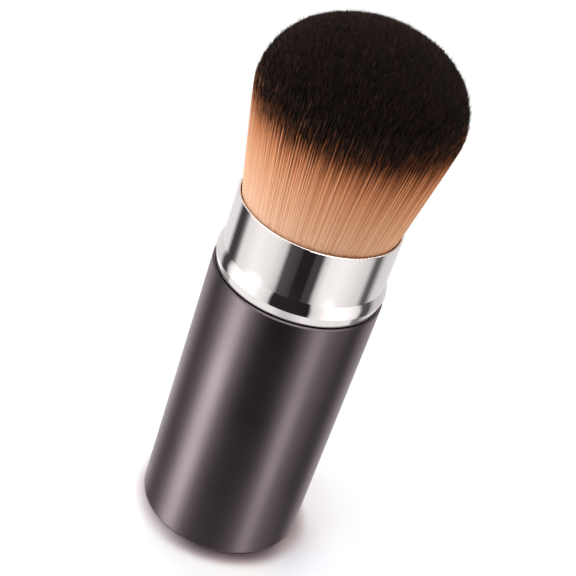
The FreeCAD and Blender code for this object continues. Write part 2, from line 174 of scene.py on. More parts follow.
class Tuft:
    """The tuft's outline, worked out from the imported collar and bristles."""

    def __init__(self):
        collar_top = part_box("collar")[1]
        bristles_low, bristles_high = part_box("inner_bristles")
        self.rim_height = collar_top.z / MM
        self.rim_radius = collar_top.x / MM - COLLAR_WALL - RIM_GAP
        self.foot = bristles_low.z / MM
        self.top = bristles_high.z / MM
        self.measure_shoulder()
        heights = np.linspace(self.shoulder_start, self.top, OUTLINE_STEPS)
        shares = self.outline(heights) / self.line(heights)
        self.end_shares = shares[::-1]
        self.end_heights = heights[::-1]

    def measure_shoulder(self):
        """Finds the arc that touches the flare outside and the dome inside."""
        along = np.array([math.sin(FLARE), math.cos(FLARE)])
        inward = np.array([-math.cos(FLARE), math.sin(FLARE)])
        dome = np.array([0.0, self.top - DOME_RADIUS])
        rim = np.array([self.rim_radius, self.rim_height])
        start = rim + inward * SHOULDER_RADIUS - dome
        reach = DOME_RADIUS - SHOULDER_RADIUS
        run = -start @ along + math.sqrt((start @ along) ** 2 - start @ start + reach**2)
        centre = dome + start + along * run
        self.dome_height = dome[1]
        self.shoulder_radius_at, self.shoulder_height = centre
        self.shoulder_start = (centre - inward * SHOULDER_RADIUS)[1]
        self.dome_start = (dome + (centre - dome) / reach * DOME_RADIUS)[1]

    def line(self, heights):
        """The radius of the outermost fibre's line."""
        flare = self.rim_radius + math.tan(FLARE) * (heights - self.rim_height)
        cup = np.interp(heights, (ROOT_TOP, self.rim_height), (ROOT_RADIUS, self.rim_radius))
        return np.where(heights < self.rim_height, cup, flare)

    def outline(self, heights):
        """The radius of the trimmed shoulder and dome."""
        over_shoulder = np.clip(SHOULDER_RADIUS**2 - (heights - self.shoulder_height) ** 2, 0, None)
        over_dome = np.clip(DOME_RADIUS**2 - (heights - self.dome_height) ** 2, 0, None)
        shoulder = self.shoulder_radius_at + np.sqrt(over_shoulder)
        return np.where(heights < self.dome_start, shoulder, np.sqrt(over_dome))

    def end(self, shares):
        """The height where a fibre is trimmed, by its share of the way out to the flank."""
        return np.interp(shares, self.end_shares, self.end_heights)

    def place(self, shares, heights):
        """Points from shares (x, y) of the fibre line's radius and heights, leaning a little."""
        radius = self.line(heights)
        lift = np.clip(heights - self.rim_height, 0, None)
        across = [shares[..., k] * radius + TUFT_LEAN[k] * lift for k in (0, 1)]
        return np.stack([*across, heights], axis=-1)


tuft = Tuft()
random = np.random.default_rng(SEED)


def length_of(points):
    """How far points lie from the axis."""
    return np.hypot(points[..., 0], points[..., 1])


def on_circle(turns):
    """Points on the unit circle."""
    return np.stack([np.cos(turns), np.sin(turns)], axis=-1)


def spread_evenly(count):
    """Points on a sunflower spiral over the tuft's section, each moved a little at random."""
    index = np.arange(count)
    size = np.sqrt((index + 0.5) / count)
    points = size[:, None] * on_circle(index * math.pi * GOLDEN_SHARE)
    return points + random.normal(0, CLUMP_JITTER / math.sqrt(count), points.shape)


def inner_places():
    """Clumps inside the tuft, and the roots and tips of their fibres."""
    clumps = spread_evenly(CLUMPS)
    clumps = clumps[length_of(clumps) < 1 - OUTER_DEPTH]
    owner = np.repeat(np.arange(len(clumps)), FIBRES_PER_CLUMP)
    roots = clumps[owner] + random.normal(0, CLUMP_SPREAD / math.sqrt(CLUMPS), (len(owner), 2))
    tips = roots + CLUMP_PULL * (clumps[owner] - roots)
    return clumps, owner, roots, tips


def outer_places():
    """Clumps round the flank, and the roots and tips of their fibres, crowded at its surface."""
    turns = (np.arange(OUTER_CLUMPS) + random.random(OUTER_CLUMPS)) / OUTER_CLUMPS * 2 * math.pi
    owner = np.repeat(np.arange(OUTER_CLUMPS), OUTER_FIBRES_PER_CLUMP)
    offset = random.normal(0, OUTER_SPREAD, len(owner))
    size = 1 - OUTER_DEPTH * random.random(len(owner)) ** OUTER_CROWDING
    roots = size[:, None] * on_circle(turns[owner] + offset)
    tips = size[:, None] * on_circle(turns[owner] + offset * (1 - OUTER_PULL))
    return on_circle(turns), owner, roots, tips


def streaks(turns):
    """Fine light and dark streaks round the flank: a random sum of waves, with a spread of one."""
    rates = random.integers(STREAKS_LEAST, STREAKS_MOST, STREAK_WAVES)
    phases = random.random(STREAK_WAVES) * 2 * math.pi
    return np.sin(turns[:, None] * rates + phases).sum(axis=1) / math.sqrt(STREAK_WAVES / 2)


class Fibres:
    """Where each fibre stands, how it bends towards its clump, and how it is dyed and shaded."""

    def __init__(self):
        clumps, owner, roots, tips = inner_places()
        outer_clumps, outer_owner, outer_roots, outer_tips = outer_places()
        self.outer = np.arange(len(owner) + len(outer_owner)) >= len(owner)
        self.inside = np.arange(len(clumps) + len(outer_clumps)) < len(clumps)
        self.owner = np.concatenate([owner, outer_owner + len(clumps)])
        self.count = len(self.owner)
        self.clumps = np.concatenate([clumps, outer_clumps])
        self.roots = np.concatenate([roots, outer_roots])
        wander = random.normal(0, FIBRE_WANDER, (self.count, 2))
        tips = np.concatenate([tips, outer_tips]) + wander
        self.tips = tips / np.maximum(length_of(tips), 1)[:, None]
        self.turn = np.arctan2(self.roots[:, 1], self.roots[:, 0]) % (2 * math.pi)
        self.sector = np.floor(self.turn / (2 * math.pi) * SECTORS).astype(int)
        self.trim()
        self.dye_and_shade()
        self.spin = random.random(self.count) * 2 * math.pi

    def trim(self):
        """Ends each fibre near the tuft's outline, and lets a few stray past it."""
        share = length_of(self.tips)
        scatter = TIP_SCATTER + SHOULDER_SCATTER * share**SHOULDER_POWER
        rise = random.normal(0, 1, self.count) * scatter - TIP_DROP
        rise += random.normal(0, CLUMP_SCATTER, len(self.clumps))[self.owner]
        stray = random.random(self.count) < STRAY_CHANCE
        rise += stray * np.abs(random.normal(0, STRAY_RISE, self.count))
        self.ends = tuft.end(share) + rise

    def dye_and_shade(self):
        """Gives each fibre the height of its dye line and its shade."""
        side = self.clumps[:, 0]
        back = self.clumps[:, 1]
        dye = DYE_HEIGHT + DYE_SIDE_RISE * side**DYE_SIDE_POWER
        dye = dye + random.normal(0, DYE_CLUMP, len(side))
        dye_spread = DYE_FIBRE * (1 + DYE_SIDE_SPREAD * side**2)
        streak = self.outer * streaks(self.turn)
        own_dye = random.normal(0, 1, self.count) * dye_spread[self.owner]
        self.dye = dye[self.owner] + own_dye + DYE_STREAK * streak
        # Painted light: the dome is lighter at the back and on the left, and the flank is paler on its left.
        tilt = np.where(self.inside, PAINTED_LIGHT_DOME_BACK * back - PAINTED_LIGHT_DOME_LEFT * side, -PAINTED_LIGHT_FLANK_LEFT * side)
        grain = np.where(self.inside, DOME_CLUMP, SHADE_CLUMP)
        shade = SHADE_MIDDLE + tilt + random.normal(0, 1, len(side)) * grain
        # Painted light: fibre and streak contrast is smaller on the lit left and larger on the shaded right.
        painted_light_contrast = 1 + PAINTED_LIGHT_CONTRAST_SIDE * side
        own_shade = random.normal(0, 1, self.count) * (SHADE_FIBRE * painted_light_contrast)[self.owner]
        streak_shade = STREAK_SHADE * streak * painted_light_contrast[self.owner]
        self.shade = np.clip(shade[self.owner] + own_shade + streak_shade, SHADE_LEAST, SHADE_MOST)


fibres = Fibres()


def dye_place(heights, dye):
    """How far up the dye map points lie, where the dye line is halfway."""
    return np.clip(DYE_LINE + (heights - dye) / DYE_SPAN, DYE_LEAST, DYE_MOST)


def strand_mesh(picked, starts, steps, thickness):
    """Vertices, faces and map places of fibres, each a tapered and closed prism in some steps."""
    steps = np.array(steps)
    ends = fibres.ends[picked]
    heights = starts[:, None] + (ends - starts)[:, None] * steps
    bend = (steps**BEND_POWER)[None, :, None]
    shares = fibres.roots[picked][:, None, :] * (1 - bend) + fibres.tips[picked][:, None, :] * bend
    middle = tuft.place(shares, heights)
    left = np.clip((ends[:, None] - heights) / TAPER_LENGTH, 0, 1)
    radius = thickness * (TIP_SHARE + (1 - TIP_SHARE) * np.sqrt(left))
    side = 2 * math.pi * np.arange(FIBRE_SIDES) / FIBRE_SIDES
    turn = fibres.spin[picked][:, None] + side
    round_it = np.stack([np.cos(turn), np.sin(turn), np.zeros_like(turn)], axis=-1)
    points = middle[:, :, None, :] + radius[:, :, None, None] * round_it[:, None, :, :]
    count, rings = heights.shape
    first = np.arange(count)[:, None, None] * rings * FIBRE_SIDES
    here = np.arange(FIBRE_SIDES)[None, None, :]
    after = (here + 1) % FIBRE_SIDES
    low = first + np.arange(rings - 1)[None, :, None] * FIBRE_SIDES
    high = low + FIBRE_SIDES
    quads = np.stack([low + here, low + after, high + after, high + here], axis=-1)
    foot = first[:, 0, :] + here[0, :, ::-1]
    tip = first[:, 0, :] + (rings - 1) * FIBRE_SIDES + here[0]
    faces = quads.reshape(-1, 4).tolist() + foot.tolist() + tip.tolist()
    edge = SHADE_EDGE * (np.arange(FIBRE_SIDES) - (FIBRE_SIDES - 1) / 2)
    shade = fibres.shade[picked][:, None, None] + edge
    dye = dye_place(heights, fibres.dye[picked][:, None])[:, :, None]
    corners = points.shape[:3]
    places = np.stack([np.broadcast_to(shade, corners), np.broadcast_to(dye, corners)], axis=-1)
    return points.reshape(-1, 3), faces, places.reshape(-1, 2)


def core_mesh(sector):
    """A closed wedge under the sector's fibres, from the tuft's foot to below its dome."""
    rise = np.linspace(tuft.rim_height, tuft.end(CORE_SHARE) - CORE_DEPTH, CORE_FLANK_STEPS)
    ease = np.clip((rise - tuft.rim_height) / CORE_EASE, 0, 1)
    flank = (CORE_RIM_SHARE + (CORE_SHARE - CORE_RIM_SHARE) * ease) * tuft.line(rise)
    over = np.linspace(CORE_SHARE, 0, CORE_DOME_STEPS + 1)[1:-1]
    dome = tuft.end(over) - CORE_DEPTH
    foot_radius = CORE_RIM_SHARE * ROOT_RADIUS
    radii = np.concatenate([[foot_radius, foot_radius], flank, over * tuft.line(dome)])
    heights = np.concatenate([[tuft.foot, ROOT_TOP], rise, dome])
    turns = (sector + np.linspace(0, 1, CORE_TURN_STEPS + 1)) * 2 * math.pi / SECTORS
    rows = len(radii)
    across = len(turns)
    shares = radii / tuft.line(heights)
    grid_heights = np.repeat(heights[:, None], across, 1)
    grid = tuft.place(shares[:, None, None] * on_circle(turns), grid_heights)
    on_axis = np.zeros((2, 2))
    ends = tuft.place(on_axis, np.array([tuft.foot, tuft.end(0.0) - CORE_DEPTH]))
    points = np.concatenate([grid.reshape(-1, 3), ends])
    bottom = rows * across
    top = bottom + 1
    faces = []
    for j in range(across - 1):
        for i in range(rows - 1):
            low = i * across + j
            faces.append((low, low + 1, low + across + 1, low + across))
        faces.append((bottom, j + 1, j))
        last = (rows - 1) * across + j
        faces.append((top, last, last + 1))
    faces.append((bottom, *(i * across for i in range(rows)), top))
    faces.append((top, *(i * across + across - 1 for i in reversed(range(rows))), bottom))
    # The core's dark tone is painted shade.
    shade = CORE_PAINTED_SHADE + CORE_SHADE_TURN * np.linspace(0, 1, across)
    shades = np.concatenate([np.tile(shade, rows), [CORE_PAINTED_SHADE, CORE_PAINTED_SHADE]])
    dyes = dye_place(points[:, 2], DYE_HEIGHT)
    return points, faces, np.stack([shades, dyes], axis=-1)


def joined(*parts):
    """One list of vertices, faces and map places from several."""
    points, faces, places = [], [], []
    held = 0
    for part_points, part_faces, part_places in parts:
        points.append(part_points)
        faces.extend([tuple(i + held for i in face) for face in part_faces])
        places.append(part_places)
        held += len(part_points)
    return np.concatenate(points), faces, np.concatenate(places)


def new_piece(name, points, faces, places):
    """A smooth mesh object with its dye map."""
    mesh = bpy.data.meshes.new(name)
    mesh.from_pydata((points * MM).tolist(), [], faces)
    corners = np.zeros(len(mesh.loops), np.int32)
    mesh.loops.foreach_get("vertex_index", corners)
    dye_map = mesh.uv_layers.new(name=DYE_MAP)
    dye_map.uv.foreach_set("vector", places[corners].astype(np.float32).ravel())
    mesh.polygons.foreach_set("use_smooth", np.ones(len(faces), bool))
    mesh.update()
    piece = bpy.data.objects.new(name, mesh)
    bpy.context.scene.collection.objects.link(piece)
    return piece


def make_sector(sector, material):
    """One sector of the tuft: its core, its outer fibres and the upper ends of its inner ones."""
    mine = fibres.sector == sector
    outer = np.flatnonzero(mine & fibres.outer)
    inner = np.flatnonzero(mine & ~fibres.outer)
    outer_starts = np.full(len(outer), tuft.rim_height - OUTER_START)
    inner_starts = fibres.ends[inner] - INNER_LENGTH
    parts = joined(
        core_mesh(sector),
        strand_mesh(outer, outer_starts, OUTER_STEPS, OUTER_FIBRE_RADIUS),
        strand_mesh(inner, inner_starts, INNER_STEPS, FIBRE_RADIUS),
    )
    piece = new_piece(f"bristles_{sector:02d}", *parts)
    piece.data.materials.append(material)
    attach(piece, "handle")
    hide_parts("inner_bristles", "outer_bristles")
    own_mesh(piece)


# Sockets of a colour mix, by number, because the node's other data types use the same names.
MIX_SHARE = 0
MIX_FIRST = 6
MIX_SECOND = 7
MIX_RESULT = 2


class Nodes:
    """A material or world whose nodes are added one by one."""

    def __init__(self, owner):
        owner.use_nodes = True
        self.tree = owner.node_tree
        self.tree.nodes.clear()

    def add(self, kind, inputs=None, **settings):
        """A new node, with its settings made and its inputs fed."""
        node = self.tree.nodes.new(kind)
        for name, value in settings.items():
            setattr(node, name, value)
        for name, value in (inputs or {}).items():
            self.feed(node, name, value)
        return node

    def feed(self, node, name, value):
        """Links a socket's output, or sets a plain value."""
        if isinstance(value, bpy.types.NodeSocket):
            self.tree.links.new(value, node.inputs[name])
        else:
            node.inputs[name].default_value = value

    def math(self, operation, first, second=0.0):
        """A sum or another operation on one or two values."""
        node = self.add("ShaderNodeMath", {0: first, 1: second}, operation=operation)
        return node.outputs[0]

    def vector_math(self, operation, result, *vectors):
        """One named result of an operation on vectors."""
        node = self.add("ShaderNodeVectorMath", dict(enumerate(vectors)), operation=operation)
        return node.outputs[result]

    def spread(self, value, low, high, to_low=0.0, to_high=1.0, smooth=False):
        """The value moved from one range to another."""
        ends = {"From Min": low, "From Max": high, "To Min": to_low, "To Max": to_high}
        kind = "SMOOTHSTEP" if smooth else "LINEAR"
        node = self.add("ShaderNodeMapRange", {"Value": value, **ends}, interpolation_type=kind)
        return node.outputs["Result"]

    def ramp(self, value, stops):
        """A colour by how far the value lies along some stops."""
        node = self.add("ShaderNodeValToRGB", {"Fac": value})
        elements = node.color_ramp.elements
        while len(elements) < len(stops):
            elements.new(1.0)
        for element, (place, colour) in zip(elements, stops):
            element.position = place
            element.color = colour
        return node.outputs["Color"]

    def mix(self, share, first, second, **settings):
        """A colour between two others."""
        sockets = {MIX_SHARE: share, MIX_FIRST: first, MIX_SECOND: second}
        node = self.add("ShaderNodeMix", data_type="RGBA", **settings)
        for number, value in sockets.items():
            self.feed(node, number, value)
        return node.outputs[MIX_RESULT]

    def blend(self, share, first, second):
        """A shader between two others."""
        node = self.add("ShaderNodeMixShader", {"Fac": share})
        self.tree.links.new(first.outputs[0], node.inputs[1])
        self.tree.links.new(second.outputs[0], node.inputs[2])
        return node

    def noise(self, size, detail):
        """Noise in the object's own coordinates, with features of that size in millimetres."""
        where = self.add("ShaderNodeTexCoord").outputs["Object"]
        inputs = {"Vector": where, "Scale": 1 / (size * MM), "Detail": detail}
        return self.add("ShaderNodeTexNoise", inputs).outputs["Fac"]

    def bump(self, height, strength, distance):
        """A normal that follows a height in millimetres."""
        inputs = {"Height": height, "Strength": strength, "Distance": distance * MM}
        return self.add("ShaderNodeBump", inputs).outputs["Normal"]

    def end(self, kind, shader):
        """The output node, fed by the last shader."""
        output = self.add(kind)
        self.tree.links.new(shader.outputs[0], output.inputs["Surface"])

    def surface(self, inputs):
        """A plain material's shader and output."""
        self.end("ShaderNodeOutputMaterial", self.add("ShaderNodeBsdfPrincipled", inputs))


FINISH = "_finish"

# Colours of the lightest and the darkest fibres, by how far up the dye map they lie. Near the dome's edge
# the light fibres grow lighter again, a painted highlight where that edge catches the lamps.
LIGHT_FIBRES = (
    (0.0, srgb(244, 198, 165)),
    (0.07, srgb(240, 187, 149)),
    (0.19, srgb(238, 177, 133)),
    (0.31, srgb(237, 163, 115)),
    (0.37, srgb(229, 147, 98)),
    (0.44, srgb(192, 115, 68)),
    (0.5, srgb(155, 89, 53)),
    (0.56, srgb(118, 72, 47)),
    (0.63, srgb(68, 46, 36)),
    (0.74, srgb(66, 45, 36)),
    # Painted highlight: lighter at the heights of the dome's edge.
    (0.83, srgb(90, 55, 42)),
    (0.9, srgb(70, 44, 34)),
)
DARK_FIBRES = (
    (0.0, srgb(206, 149, 109)),
    (0.07, srgb(200, 138, 97)),
    (0.19, srgb(189, 129, 89)),
    (0.31, srgb(166, 109, 72)),
    (0.37, srgb(151, 94, 61)),
    (0.44, srgb(106, 61, 34)),
    (0.5, srgb(67, 36, 19)),
    (0.56, srgb(24, 17, 13)),
    (0.63, srgb(9, 7, 6)),
    (0.9, srgb(5, 4, 3)),
)
# Dark fibres gain on light ones from the dye line to the tips.
CONTRAST_RANGE = (0.485, 0.605)
CONTRAST_POWERS = (1.0, 3.5)
FIBRE_ROUGH_DARK = 0.55
FIBRE_ROUGH_LIGHT = 0.42
FIBRE_SPECULAR = 0.12

CHROME_DARK = (0.905, 0.885, 0.872, 1.0)
CHROME_LIGHT = (0.93, 0.912, 0.9, 1.0)
CHROME_ROUGH = (0.015, 0.035)
SMUDGE_SIZE = 6.0
SMUDGE_DETAIL = 4.0
SMUDGE_RANGE = (0.35, 0.75)

ANODISED_DARK = (0.11, 0.09, 0.098, 1.0)
ANODISED_LIGHT = (0.128, 0.105, 0.114, 1.0)
ANODISED_TINT = (1.0, 0.92, 0.945, 1.0)
ANODISED_ROUGH = (0.27, 0.31)
BLAST_SIZE = 0.12
BLAST_STRENGTH = 0.12
BLAST_DEPTH = 0.01
HAZE_SIZE = 14.0
HAZE_DETAIL = 3.0

# Finishes share how their clouds spread and how fine their grain is.
CLOUD_RANGE = (0.3, 0.7)
CLOUD_DETAIL = 4.0
GRAIN_SHARE = 0.05
GRAIN_DETAIL = 2.0
GRAIN_STRENGTH = 0.15
GRAIN_DEPTH = 0.02


def new_material(slot):
    """An empty material for a slot."""
    return bpy.data.materials.new(slot + FINISH)


def bristle_material():
    """Tan fibres with dyed tips. The map's U is a fibre's shade, and its V is how far up the dye lies."""
    material = new_material("bristle")
    nodes = Nodes(material)
    place = nodes.add("ShaderNodeUVMap", uv_map=DYE_MAP).outputs["UV"]
    axes = nodes.add("ShaderNodeSeparateXYZ", {"Vector": place})
    shade = axes.outputs["X"]
    dye = axes.outputs["Y"]
    contrast = nodes.spread(dye, *CONTRAST_RANGE, *CONTRAST_POWERS)
    share = nodes.math("POWER", shade, contrast)
    colour = nodes.mix(share, nodes.ramp(dye, DARK_FIBRES), nodes.ramp(dye, LIGHT_FIBRES))
    rough = nodes.spread(shade, 0.0, 1.0, FIBRE_ROUGH_DARK, FIBRE_ROUGH_LIGHT)
    nodes.surface({"Base Color": colour, "Roughness": rough, "Specular IOR Level": FIBRE_SPECULAR})
    return material


def chrome_material():
    """Polished chrome plate with a faint bloom of fine smudges."""
    material = new_material("polished_chrome")
    nodes = Nodes(material)
    smudge = nodes.noise(SMUDGE_SIZE, SMUDGE_DETAIL)
    rough = nodes.spread(smudge, *SMUDGE_RANGE, *CHROME_ROUGH)
    colour = nodes.mix(smudge, CHROME_DARK, CHROME_LIGHT)
    nodes.surface({"Base Color": colour, "Metallic": 1.0, "Roughness": rough})
    return material


def anodised_material():
    """Satin black anodising with a fine blasted grain."""
    material = new_material("anodised_black")
    nodes = Nodes(material)
    grain = nodes.noise(BLAST_SIZE, GRAIN_DETAIL)
    haze = nodes.noise(HAZE_SIZE, HAZE_DETAIL)
    finish = {
        "Base Color": nodes.mix(haze, ANODISED_DARK, ANODISED_LIGHT),
        "Metallic": 1.0,
        "Roughness": nodes.spread(haze, *CLOUD_RANGE, *ANODISED_ROUGH),
        "Specular Tint": ANODISED_TINT,
        "Normal": nodes.bump(grain, BLAST_STRENGTH, BLAST_DEPTH),
    }
    nodes.surface(finish)
    return material


def plain_material(name, dark, light, rough, size, metallic=0.0):
    """A moulded, cast or machined finish: two near colours, uneven gloss and a fine grain."""
    material = new_material(name)
    nodes = Nodes(material)
    cloud = nodes.noise(size, CLOUD_DETAIL)
    grain = nodes.noise(size * GRAIN_SHARE, GRAIN_DETAIL)
    finish = {
        "Base Color": nodes.mix(cloud, srgb(*dark), srgb(*light)),
        "Metallic": metallic,
        "Roughness": nodes.spread(cloud, *CLOUD_RANGE, *rough),
        "Normal": nodes.bump(grain, GRAIN_STRENGTH, GRAIN_DEPTH),
    }
    nodes.surface(finish)
    return material


# The finishes of the pieces inside the handle: two display colours, roughness and the size of their clouds.
PLAIN_FINISHES = {
    "liner_plastic": {"dark": (38, 38, 41), "light": (50, 50, 54), "rough": (0.42, 0.55), "size": 5.0},
    "black_acetal": {"dark": (13, 13, 14), "light": (20, 20, 22), "rough": (0.4, 0.5), "size": 4.0},
    "cast_glue": {"dark": (190, 170, 120), "light": (214, 196, 150), "rough": (0.2, 0.35), "size": 3.0},
    "binding_thread": {"dark": (196, 188, 172), "light": (226, 220, 206), "rough": (0.75, 0.9), "size": 0.8},
    "band_rubber": {"dark": (24, 24, 25), "light": (34, 34, 36), "rough": (0.7, 0.85), "size": 2.0},
}
METAL_FINISHES = {
    "screw_steel": {"dark": (150, 150, 152), "light": (176, 176, 178), "rough": (0.24, 0.34), "size": 2.0},
    "cup_aluminium": {"dark": (188, 188, 190), "light": (208, 208, 210), "rough": (0.26, 0.36), "size": 4.0},
    "tube_aluminium": {"dark": (196, 196, 199), "light": (214, 214, 217), "rough": (0.2, 0.28), "size": 8.0},
}


def make_materials():
    """One finished material for each slot of the record."""
    made = [bristle_material(), chrome_material(), anodised_material()]
    made += [plain_material(name, **finish) for name, finish in PLAIN_FINISHES.items()]
    made += [plain_material(name, **finish, metallic=1.0) for name, finish in METAL_FINISHES.items()]
    return {material.name.removesuffix(FINISH): material for material in made}


def dress_nodes(materials):
    """Each CAD node's slot takes the finished material of the same name."""
    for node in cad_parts.values():
        for slot in node.material_slots:
            slot.material = materials[slot.material.name]


# The studio that polished metal sees, by degrees round from the camera.
# Two soft boxes stand left and right of a dark camera bay, with a narrow flag beyond each.
BOX_LEVELS = (
    (-180, 0.84),
    (-128, 0.82),
    (-117, 0.06),
    (-107, 0.05),
    (-101, 0.16),
    (-93, 0.8),
    (-66, 1.0),
    (-40, 0.86),
    (-27, 0.66),
    (-21, 0.085),
    (-5, 0.045),
    (-3, 0.016),
    (12, 0.014),
    (14, 0.05),
    (23, 0.06),
    (28, 0.64),
    (36, 0.94),
    (54, 1.0),
    (70, 0.9),
    (95, 0.68),
    (104, 0.13),
    (111, 0.11),
    (124, 0.68),
    (150, 0.76),
    (180, 0.74),
)
# Higher up the boxes are brighter and the bay is black.
UPPER_LEVELS = (
    (-180, 0.86),
    (-115, 0.76),
    (-106, 0.06),
    (-96, 0.06),
    (-88, 0.9),
    (-80, 1.2),
    (-46, 1.2),
    (-38, 0.95),
    (-26, 0.72),
    (-22, 0.02),
    (26, 0.014),
    (29, 0.7),
    (41, 0.98),
    (50, 1.2),
    (74, 1.2),
    (91, 0.85),
    (98, 0.1),
    (109, 0.08),
    (120, 0.6),
    (180, 0.82),
)
UPPER_LOW = -0.49
UPPER_HIGH = -0.42
# Lower down, where the satin handle looks, the boxes are narrow strips.
STRIP_LEVELS = (
    (-180, 0.12),
    (-140, 0.12),
    (-120, 0.05),
    (-102, 0.028),
    (-84, 0.1),
    (-60, 1.0),
    (-42, 0.12),
    (-25, 0.006),
    (27, 0.003),
    (40, 0.08),
    (54, 0.54),
    (68, 0.1),
    (95, 0.018),
    (118, 0.022),
    (135, 0.075),
    (180, 0.12),
)
STRIP_STRENGTH = 9.5
STRIP_FOOT_STRENGTH = 6.7
STRIP_FOOT = -0.69
STRIP_KNEE = -0.63
STRIP_HIGH = -0.535
STRIP_LOW = -0.57
TABLE_HIGH = -0.69
TABLE_LOW = -0.712
# The table before the camera lies in the shade of the bay.
TABLE_LEVELS = (
    (-180, 0.76),
    (-125, 0.6),
    (-110, 0.3),
    (-96, 0.26),
    (-72, 0.42),
    (-32, 0.7),
    (-8, 0.58),
    (10, 0.58),
    (30, 0.74),
    (50, 0.7),
    (75, 0.46),
    (100, 0.24),
    (140, 0.34),
    (180, 0.76),
)
# Close to the brush the table before it is bright.
NEAR_TABLE_LEVELS = (
    (-180, 0.35),
    (-126, 0.35),
    (-112, 0.88),
    (-75, 0.96),
    (-25, 0.88),
    (-5, 0.62),
    (8, 0.62),
    (30, 0.88),
    (75, 0.88),
    (112, 0.82),
    (126, 0.35),
    (180, 0.35),
)
NEAR_TABLE_HIGH = -0.712
NEAR_TABLE_LOW = -0.73
CEILING_LOW = 0.55
CEILING_HIGH = 0.7
CEILING_LEVEL = 2.2
# The soft fill is cooler on the left than elsewhere.
FILL_COLOUR = (0.79, 0.72, 0.66, 1.0)
FILL_BACK = (0.77, 0.76, 0.74, 1.0)
FILL_LEFT = (0.72, 0.85, 1.02, 1.0)
FILL_STOPS = (
    (-180, FILL_BACK),
    (-130, FILL_LEFT),
    (-70, FILL_LEFT),
    (-20, FILL_COLOUR),
    (130, FILL_COLOUR),
    (180, FILL_BACK),
)
TINT_GREEN = 0.965
TINT_BLUE = 0.97
TINT_FLOOR = 0.004


def grey(level):
    """A level without any cast."""
    return (level, level, level, 1.0)


def rosy(level):
    """A level with the faint warm cast of the studio, which shows most in its darks."""
    return (level + TINT_FLOOR, level * TINT_GREEN, level * TINT_BLUE + TINT_FLOOR / 2, 1.0)


def around(levels, tint):
    """Ramp stops from levels by degrees, -180 to 180."""
    return [((degrees + 180) / 360, tint(level)) for degrees, level in levels]


def make_world():
    """White to the camera, a studio to polished metal, and a soft fill to all else."""
    world = bpy.data.worlds.new("studio")
    bpy.context.scene.world = world
    nodes = Nodes(world)
    direction = nodes.add("ShaderNodeTexCoord").outputs["Generated"]
    axes = nodes.add("ShaderNodeSeparateXYZ", {"Vector": direction})
    to_camera = nodes.math("MULTIPLY", axes.outputs["Y"], -1.0)
    azimuth = nodes.math("ARCTAN2", axes.outputs["X"], to_camera)
    turn = nodes.spread(azimuth, -math.pi, math.pi)
    height = axes.outputs["Z"]

    def backdrop(colour):
        return nodes.add("ShaderNodeBackground", {"Color": colour})

    def ringed(levels, tint=rosy):
        """A backdrop that changes with the direction round the brush."""
        return backdrop(nodes.ramp(turn, around(levels, tint)))

    def change(start, stop, first, second):
        """The first backdrop gives way to the second between two heights."""
        return nodes.blend(nodes.spread(height, start, stop, smooth=True), first, second)

    strips = ringed(STRIP_LEVELS, grey)
    strength = nodes.spread(height, STRIP_FOOT, STRIP_KNEE, STRIP_FOOT_STRENGTH, STRIP_STRENGTH)
    nodes.feed(strips, "Strength", strength)
    top = change(CEILING_LOW, CEILING_HIGH, ringed(UPPER_LEVELS), backdrop(grey(CEILING_LEVEL)))
    high = change(UPPER_LOW, UPPER_HIGH, ringed(BOX_LEVELS), top)
    low = change(STRIP_HIGH, STRIP_LOW, high, strips)
    lower = change(TABLE_HIGH, TABLE_LOW, low, ringed(TABLE_LEVELS))
    studio = change(NEAR_TABLE_HIGH, NEAR_TABLE_LOW, lower, ringed(NEAR_TABLE_LEVELS))
    path = nodes.add("ShaderNodeLightPath")
    lit = nodes.blend(path.outputs["Is Glossy Ray"], ringed(FILL_STOPS, tuple), studio)
    seen = nodes.blend(path.outputs["Is Camera Ray"], lit, backdrop(grey(1.0)))
    nodes.end("ShaderNodeOutputWorld", seen)


FLOOR_REACH = 3000.0
FLOOR_CORNERS = ((-1, -1), (1, -1), (1, 1), (-1, 1))
FLOOR_DROP = 0.03
FLOOR_WHITE = 0.8
FLOOR_WARMTH = (0.14, 0.05, 0.0, 1.0)
# To the camera the floor is a little warm before the brush and a little cool on its right.
FLOOR_FRONT = (0.85, 0.785, 0.735, 1.0)
FLOOR_RIGHT = (0.81, 0.795, 0.835, 1.0)
FLOOR_RIGHT_EDGE = 0.5
FLOOR_RIGHT_CORE = 0.95
FLOOR_SHADOW = 0.97
FLOOR_SHADOW_NEAR = 20.0
FLOOR_SHADOW_FAR = 34.0
# The contact shadow is deepest on the side that the key lamp doesn't reach.
LEE_TURN = math.radians(18)
LEE_EDGE = 0.62
LEE_CORE = 0.98
BEAM_EDGE = 0.6
BEAM_CORE = -0.35
BEAM_LIFT = 0.5
CONTACT_REACH = 4.5
CONTACT_NEAR = 0.52
CONTACT_FAR = 0.97
CONTACT_SAMPLES = 16
# Tones of the contact shadow from its core to the open floor, where light reaches and on the lee side.
LIT_TONES = (
    (0.0, srgb(187, 175, 177)),
    (0.5, srgb(223, 213, 212)),
    (1.0, grey(1.0)),
)
LEE_TONES = (
    (0.0, srgb(106, 93, 101)),
    (0.35, srgb(128, 114, 122)),
    (0.7, srgb(190, 178, 183)),
    (0.88, srgb(235, 228, 226)),
    (1.0, grey(1.0)),
)


